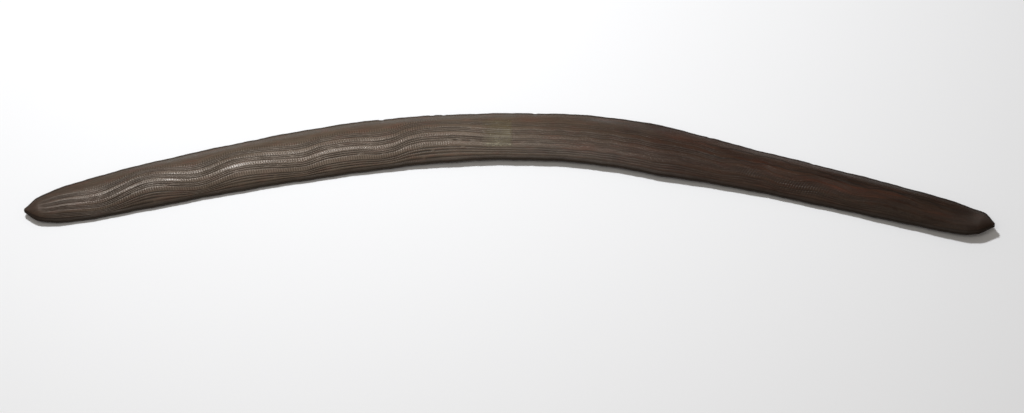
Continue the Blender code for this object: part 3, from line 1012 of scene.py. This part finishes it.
# %% [markdown]
# ## Dark hardwood
#
# Dense acacia-like hardwood is almost black-brown inside and redder where it has been oiled. Generations of
# hands have polished the ridges, while the bottoms of the cuts stay dull and hold dirt. So the roughness
# follows the cut: smooth on the ridges and ribs, rough in the hollows. The left arm is paler and greyer than
# the right, partly from wear and partly as painted sheen of the soft box, which lights that end most. The
# smudges of ochre show red, and long fibres break up every tone. Rubbed ridges are paler still, partly as
# painted glints, and a thin coat like wax shines on the ribs. The hollows of the cuts and the inner edge are
# darkened as painted shade along with their grime, and grime fills the ticks and scored lines.
#
# The long fibres read "flow", so they run straight with the blade under the drifting grooves. Everything else
# reads "lie".

# %% Place a group in a material
def use(tree, group, **values):
    """A node for a shader group, with its inputs set or wired."""
    node = tree.nodes.new("ShaderNodeGroup")
    node.node_tree = group
    for name, value in values.items():
        wire(tree, node.inputs[name], value)
    return node.outputs[0]


def read(tree, name, kind="Fac"):
    """A value stored on the points, in a material."""
    node = tree.nodes.new("ShaderNodeAttribute")
    node.attribute_name = name
    return node.outputs[kind]


def bump(tree, height, distance, strength=1.0, normal=None):
    """Turn a small height into a bend of the surface's normal."""
    node = tree.nodes.new("ShaderNodeBump")
    node.inputs["Distance"].default_value = distance
    node.inputs["Strength"].default_value = strength
    wire(tree, node.inputs["Height"], height)
    if normal is not None:
        wire(tree, node.inputs["Normal"], normal)
    return node.outputs[0]


# %% Ground colour of the wood
# The left arm's colours are lighter than the right's partly from wear and partly as painted sheen of the soft
# box, which lights that end most.
WOOD_LEFT_END_AND_SHEEN = (0.0760, 0.0535, 0.0395, 1.0)
WOOD_LEFT_AND_SHEEN = (0.1040, 0.0740, 0.0535, 1.0)
WOOD_RIGHT = (0.0370, 0.0170, 0.0106, 1.0)
WOOD_FAR_RIGHT = (0.0200, 0.0094, 0.0055, 1.0)

lie = read(wood_tree, "lie", "Vector")
flow_here = read(wood_tree, "flow", "Vector")
split = wood_tree.nodes.new("ShaderNodeSeparateXYZ")
wire(wood_tree, split.inputs[0], lie)
wood_along, wood_across = split.outputs[0], split.outputs[1]
long_fibre = use(wood_tree, fibres, Lie=flow_here, Length=0.030, Width=0.00075)
broad_fibre = use(wood_tree, fibres, Lie=flow_here, Length=0.060, Width=0.0026)
thin_fibre = use(wood_tree, fibres, Lie=flow_here, Length=0.014, Width=0.0011)
short_fibre = use(wood_tree, fibres, Lie=lie, Length=0.0045, Width=0.00035)
cloud = use(wood_tree, blotches, Lie=lie, Length=0.035, Width=0.012, Cover=0.5)
mottle = use(wood_tree, blotches, Lie=lie, Length=0.014, Width=0.0045, Cover=0.55)
speckle = use(wood_tree, blotches, Lie=lie, Length=0.0035, Width=0.0014, Cover=0.35)

towards_right = maths(
    wood_tree, "ADD", ramp(wood_tree, wood_along, 0.40, 0.57),
    times(wood_tree, maths(wood_tree, "SUBTRACT", cloud, 0.4), 0.22), clamp=True,
)
left_wood_and_sheen = mixed(wood_tree, ramp(wood_tree, wood_along, 0.06, 0.20), WOOD_LEFT_END_AND_SHEEN, WOOD_LEFT_AND_SHEEN)
right_wood = mixed(wood_tree, ramp(wood_tree, wood_along, 0.69, 0.765), WOOD_RIGHT, WOOD_FAR_RIGHT)
colour = mixed(wood_tree, towards_right, left_wood_and_sheen, right_wood)
print("ground colours of the wood: 4")

# %% Fibres, dust, ochre and mottling
DUST_GREY = (0.105, 0.092, 0.085, 1.0)
OCHRE_RED = (0.105, 0.032, 0.018, 1.0)
CLOUD_TINT = (0.62, 0.58, 0.56)
LONG_FIBRE_TINT = (1.60, 1.54, 1.50)
BROAD_FIBRE_TINT = (0.66, 0.62, 0.62)
THIN_FIBRE_TINT = (0.62, 0.60, 0.60)
SPECKLE_TINT = (1.7, 1.65, 1.6)
MOTTLE_COOL = (0.96, 1.02, 1.01)
MOTTLE_WARM = (1.08, 0.95, 0.93)


def washed(tree, colour, tint):
    """A colour multiplied by a tint."""
    return mixed(tree, 1.0, colour, (*tint, 1.0), "MULTIPLY")


def tinted(tree, share, colour, tint):
    """A colour multiplied by a tint over a share of it."""
    return mixed(tree, share, colour, washed(tree, colour, tint))


thin_share = ramp(wood_tree, towards_right, 0.0, 1.0, 0.60, 0.95)
for mask, strength, tint in (
    (cloud, 0.30, CLOUD_TINT), (long_fibre, 0.55, LONG_FIBRE_TINT),
    (broad_fibre, 0.50, BROAD_FIBRE_TINT), (thin_fibre, thin_share, THIN_FIBRE_TINT),
):
    colour = tinted(wood_tree, times(wood_tree, mask, strength), colour, tint)
colour = mixed(wood_tree, times(wood_tree, read(wood_tree, "dust"), 0.60), colour, DUST_GREY)
ochre_held = times(wood_tree, read(wood_tree, "ochre"), ramp(wood_tree, long_fibre, 0.1, 0.8, 0.12, 0.55))
colour = mixed(wood_tree, ochre_held, colour, OCHRE_RED)
colour = tinted(wood_tree, times(wood_tree, speckle, 0.35), colour, SPECKLE_TINT)
colour = mixed(
    wood_tree, mottle, washed(wood_tree, colour, MOTTLE_COOL), washed(wood_tree, colour, MOTTLE_WARM),
)
print("tints and stains laid over the wood")

# %% Ridges rubbed pale, with painted glints
# Pale of worn wood, which also stands in for the soft box's glints as a painted highlight.
PALE_WEAR_AND_GLINT = (0.200, 0.155, 0.122, 1.0)
cut_here, carved_here, swing_here, rib_here, edge_grime_and_shade_here, tip_here, rubbed_and_glint_here = (
    read(wood_tree, name) for name in ("groove", "carved", "swing", "rib", "edge", "tip", "rubbed_and_glint")
)
ridge = maths(wood_tree, "MULTIPLY_ADD", cut_here, -1.3, 1.0, clamp=True)
left_share = maths(wood_tree, "SUBTRACT", 1.0, towards_right)
# Every carved ridge of the left arm is paled a little as well, as painted sheen of the soft box.
rubbed_and_glint = maths(wood_tree, "ADD", rubbed_and_glint_here, times(wood_tree, carved_here, left_share, 0.20), clamp=True)
rubbed_and_glint = times(
    wood_tree, rubbed_and_glint, ramp(wood_tree, thin_fibre, 0.0, 0.8, 1.0, 0.45),
    maths(wood_tree, "MULTIPLY_ADD", rib_here, 0.4, 1.0),
)
off_tip = maths(wood_tree, "MULTIPLY_ADD", tip_here, -1.1, 1.0, clamp=True)
colour = mixed(wood_tree, times(wood_tree, rubbed_and_glint, ridge, 0.70, off_tip), colour, PALE_WEAR_AND_GLINT)
print("rubbed spots:", len(RUBBED_AND_GLINT_SPOTS))

# %% Dashes, cross ticks, scored lines, grime and painted shade
TICK_PITCH = 0.0024
TICK_SLANT = -0.35
TIP_TINT = (1.06, 0.90, 0.86)
dash = use(wood_tree, dashes, Lie=lie, Line=read(wood_tree, "line"), Pitch=BEAD_PITCH)
beaded = times(wood_tree, swing_here, carved_here, 0.45)
beaded = maths(wood_tree, "ADD", beaded, times(wood_tree, rib_here, 0.9), clamp=True)
tick_beat = maths(wood_tree, "MULTIPLY_ADD", wood_across, TICK_SLANT, wood_along)
tick = maths(wood_tree, "COSINE", times(wood_tree, tick_beat, 2.0 * math.pi / TICK_PITCH))
ticked_here = times(wood_tree, read(wood_tree, "ticked"), ramp(wood_tree, speckle, 0.0, 0.6, 1.0, 0.3))
tick = times(wood_tree, ramp(wood_tree, tick, -0.3, 0.9), ticked_here)
pressed = maths(wood_tree, "ADD", times(wood_tree, dash, beaded), times(wood_tree, tick, 0.5), clamp=True)
score = times(wood_tree, read(wood_tree, "scored"), ramp(wood_tree, broad_fibre, 0.0, 0.6, 0.7, 1.0))
# The groove hollows and the inner edge are darkened as painted shade as well as grime; ticks, dashes, scored
# lines and tips are darkened as grime.
for dirty, amount in (
    (tick, 0.52), (score, 0.95), (pressed, 0.45), (cut_here, 0.80), (edge_grime_and_shade_here, 0.80), (tip_here, 0.58),
):
    colour = use(wood_tree, grime_and_shade, Colour=colour, Cut=dirty, Amount=amount)
colour = tinted(wood_tree, tip_here, colour, TIP_TINT)
wire(wood_tree, gloss.inputs["Base Color"], colour)
print("wood colours set")

# %% Gloss and fine surface of the wood
BARE_ROUGHNESS = 0.25
GRAIN_HEIGHT = 0.00008
PRESSED_HEIGHT = 0.00016
polish = use(wood_tree, blotches, Lie=lie, Length=0.022, Width=0.006, Cover=0.75)
kept_polish = maths(wood_tree, "SUBTRACT", 1.0, times(wood_tree, towards_right, 0.8))
shiny = times(
    wood_tree, rib_here, times(wood_tree, polish, kept_polish),
    ramp(wood_tree, rubbed_and_glint_here, 0.15, 0.70, 0.12, 1.0),
)
roughness = weighed(
    wood_tree, (cut_here, 0.26), (cloud, 0.04), (short_fibre, 0.06), (shiny, -0.10), (edge_grime_and_shade_here, 0.18),
    (tip_here, 0.30),
)
roughness = maths(wood_tree, "ADD", roughness, BARE_ROUGHNESS, clamp=True)
grain = bump(wood_tree, weighed(wood_tree, (long_fibre, 0.6), (short_fibre, 0.4)), GRAIN_HEIGHT)
smooth = maths(wood_tree, "SUBTRACT", 1.0, pressed)
wire(wood_tree, gloss.inputs["Roughness"], roughness)
wire(wood_tree, gloss.inputs["Normal"], bump(wood_tree, smooth, PRESSED_HEIGHT, normal=grain))
wire(wood_tree, gloss.inputs["Coat Weight"], times(wood_tree, shiny, 0.20))
gloss.inputs["Coat Roughness"].default_value = 0.24
gloss.inputs["Coat IOR"].default_value = 1.5
gloss.inputs["IOR"].default_value = 1.48
gloss.inputs["Specular IOR Level"].default_value = 0.20
gloss.inputs["Specular Tint"].default_value = (1.0, 0.90, 0.80, 1.0)
print("nodes in the wood:", len(wood_tree.nodes))

# %% [markdown]
# ## Old varnish
#
# Shellac yellows with age and goes brittle. It is clear enough to show the grooves, so its alpha stays low
# and breaks up towards the rim and along the fibres, where it has flaked.

# %% Varnish material
VARNISH_THIN = (0.105, 0.078, 0.034, 1.0)
VARNISH_THICK = (0.205, 0.162, 0.085, 1.0)
old_varnish, film_tree, shine = new_finish("yellowed_varnish")
lie = read(film_tree, "lie", "Vector")
worn = use(film_tree, blotches, Lie=lie, Length=0.0065, Width=0.0035, Cover=0.45)
streaky = use(film_tree, fibres, Lie=lie, Length=0.012, Width=0.0009)
cover = ramp(film_tree, read(film_tree, "cover"), 0.0, 1.0)
left = times(film_tree, maths(film_tree, "MULTIPLY_ADD", worn, -0.22, 0.37), cover)
left = times(film_tree, left, ramp(film_tree, streaky, 0.0, 1.0, 0.55, 1.25), clamp=True)
wire(film_tree, shine.inputs["Base Color"], mixed(film_tree, streaky, VARNISH_THIN, VARNISH_THICK))
wire(film_tree, shine.inputs["Alpha"], left)
wire(film_tree, shine.inputs["Roughness"], ramp(film_tree, worn, 0.0, 1.0, 0.32, 0.55))
wire(film_tree, shine.inputs["Normal"], bump(film_tree, streaky, 0.00004))
shine.inputs["IOR"].default_value = 1.52
varnish.data.materials.append(old_varnish)
print("varnish finished:", old_varnish.name)

# %% [markdown]
# ## Pale paint
#
# Cream paint, matt and chalky, sits on the ridges it was dragged over and is missing from the hollows.

# %% Paint material
PAINT_DULL = (0.170, 0.145, 0.090, 1.0)
PAINT_PALE = (0.400, 0.355, 0.245, 1.0)
cream_paint, film_tree, chalk = new_finish("cream_paint")
lie = read(film_tree, "lie", "Vector")
dragged = use(film_tree, fibres, Lie=lie, Length=0.0075, Width=0.00075)
worn = use(film_tree, blotches, Lie=lie, Length=0.0030, Width=0.0010, Cover=0.5)
whole = maths(film_tree, "MULTIPLY_ADD", worn, -0.5, 1.0)
held = times(film_tree, ramp(film_tree, dragged, 0.48, 0.84), whole)
held = times(film_tree, held, ramp(film_tree, read(film_tree, "cover"), 0.0, 0.5, 0.3, 1.0), clamp=True)
wire(film_tree, chalk.inputs["Base Color"], mixed(film_tree, dragged, PAINT_DULL, PAINT_PALE))
wire(film_tree, chalk.inputs["Alpha"], held)
wire(film_tree, chalk.inputs["Roughness"], ramp(film_tree, dragged, 0.0, 1.0, 0.75, 0.60))
wire(film_tree, chalk.inputs["Normal"], bump(film_tree, dragged, 0.00006))
for piece in (streak, *dabs):
    piece.data.materials.append(cream_paint)
print("films finished:", 2 + len(dabs))

# %% [markdown]
# ## Join the pieces to the frame
#
# Every piece rides on the one rigid body, and stands for the plain solid it replaces.

# %% Ride and replace
PIECES = [
    (blade, "blade", "dark_hardwood"), (varnish, "varnish_patch", "old_varnish"),
    (streak, "paint_streak", "pale_paint"),
]
PIECES += [(dab, f"paint_dab_{number}", "pale_paint") for number, dab in enumerate(dabs, start=1)]
for piece, node, finish_name in PIECES:
    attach(piece, "root")
    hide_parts(node)
    print(piece.name, "stands for", node, "with", len(piece.data.polygons), "faces")

# %% [markdown]
# ## Floor, light and camera
#
# A pale matt table, one fairly small soft box high up behind and to the left, a weaker warm panel in front,
# and a white room that fills the shadows. The box is small so that its shadow has a crisp edge and the
# polished ridges sparkle. The camera's side angle, aim and lens were fitted by a separate program, so that
# the outline falls where the real one's does.

# %% Pale floor
FLOOR_DEPTH = -0.00005      # a hair below the wood, so that the two never share a plane
FLOOR_HALF = 6.0
FLOOR_DARK = (0.880, 0.888, 0.908, 1.0)
FLOOR_LIGHT = (0.900, 0.908, 0.926, 1.0)
floor_mesh = bpy.data.meshes.new("pale_floor")
floor_corners = [
    (x * FLOOR_HALF, y * FLOOR_HALF, FLOOR_DEPTH) for x, y in ((-1, -1), (1, -1), (1, 1), (-1, 1))
]
floor_mesh.from_pydata(floor_corners, [], [(0, 1, 2, 3)])
floor_finish, floor_tree, paper = new_finish("white_paper")
coordinates = floor_tree.nodes.new("ShaderNodeTexCoord").outputs["Object"]
fibre = grit(floor_tree, coordinates, 900.0, 2.0)
wire(floor_tree, paper.inputs["Base Color"], mixed(floor_tree, fibre, FLOOR_DARK, FLOOR_LIGHT))
paper.inputs["Roughness"].default_value = 0.9
paper.inputs["Specular IOR Level"].default_value = 0.2
floor_mesh.materials.append(floor_finish)
floor = bpy.data.objects.new("pale_floor", floor_mesh)
bpy.context.scene.collection.objects.link(floor)
print("floor, m:", 2.0 * FLOOR_HALF, "square")

# %% Soft box, front panel and room light
def square_light(name, place, aim, size, energy, colour, spread=180.0):
    """A square lamp at a place, turned towards its aim."""
    lamp = bpy.data.lights.new(name, "AREA")
    lamp.shape = "SQUARE"
    lamp.size = size
    lamp.energy = energy
    lamp.color = colour
    lamp.spread = math.radians(spread)
    holder = bpy.data.objects.new(name, lamp)
    holder.location = place
    holder.rotation_mode = "QUATERNION"
    holder.rotation_quaternion = (aim - place).to_track_quat("-Z", "Y")
    bpy.context.scene.collection.objects.link(holder)


square_light(
    "soft_box", Vector((-0.64, 0.96, 2.13)), Vector((-0.11, 0.25, 0.0)),
    size=0.30, energy=13.0, colour=(0.985, 1.0, 1.015), spread=92.0,
)
square_light(
    "front_panel", Vector((-0.42, -0.92, 2.02)), Vector((0.0, 0.0, 0.0)),
    size=0.8, energy=5.5, colour=(1.0, 0.955, 0.88),
)

world = bpy.data.worlds.new("white_room")
world.use_nodes = True
room = world.node_tree.nodes["Background"]
room.inputs["Color"].default_value = (1.0, 0.93, 0.85, 1.0)
room.inputs["Strength"].default_value = 0.21
bpy.context.scene.world = world
bpy.context.scene.view_settings.view_transform = "Standard"
print("lamps:", len(bpy.data.lights))

# %% Camera
CAMERA_AIM = Vector((0.00287, -0.03485, 0.0))
CAMERA_AWAY = 2.7
CAMERA_HEIGHT_ANGLE = 55.0
CAMERA_SIDE_ANGLE = -1.38
CAMERA_LENS = 108.36
elevation, azimuth = math.radians(CAMERA_HEIGHT_ANGLE), math.radians(CAMERA_SIDE_ANGLE)
looking = Vector((
    math.sin(azimuth) * math.cos(elevation), math.cos(azimuth) * math.cos(elevation), -math.sin(elevation),
))
lens = bpy.data.cameras.new("camera")
lens.sensor_width = 36.0
lens.lens = CAMERA_LENS
lens.clip_start, lens.clip_end = 0.1, 50.0
camera = bpy.data.objects.new("camera", lens)
camera.location = CAMERA_AIM - looking * CAMERA_AWAY
camera.rotation_mode = "QUATERNION"
camera.rotation_quaternion = looking.to_track_quat("-Z", "Y")
bpy.context.scene.collection.objects.link(camera)
bpy.context.scene.camera = camera
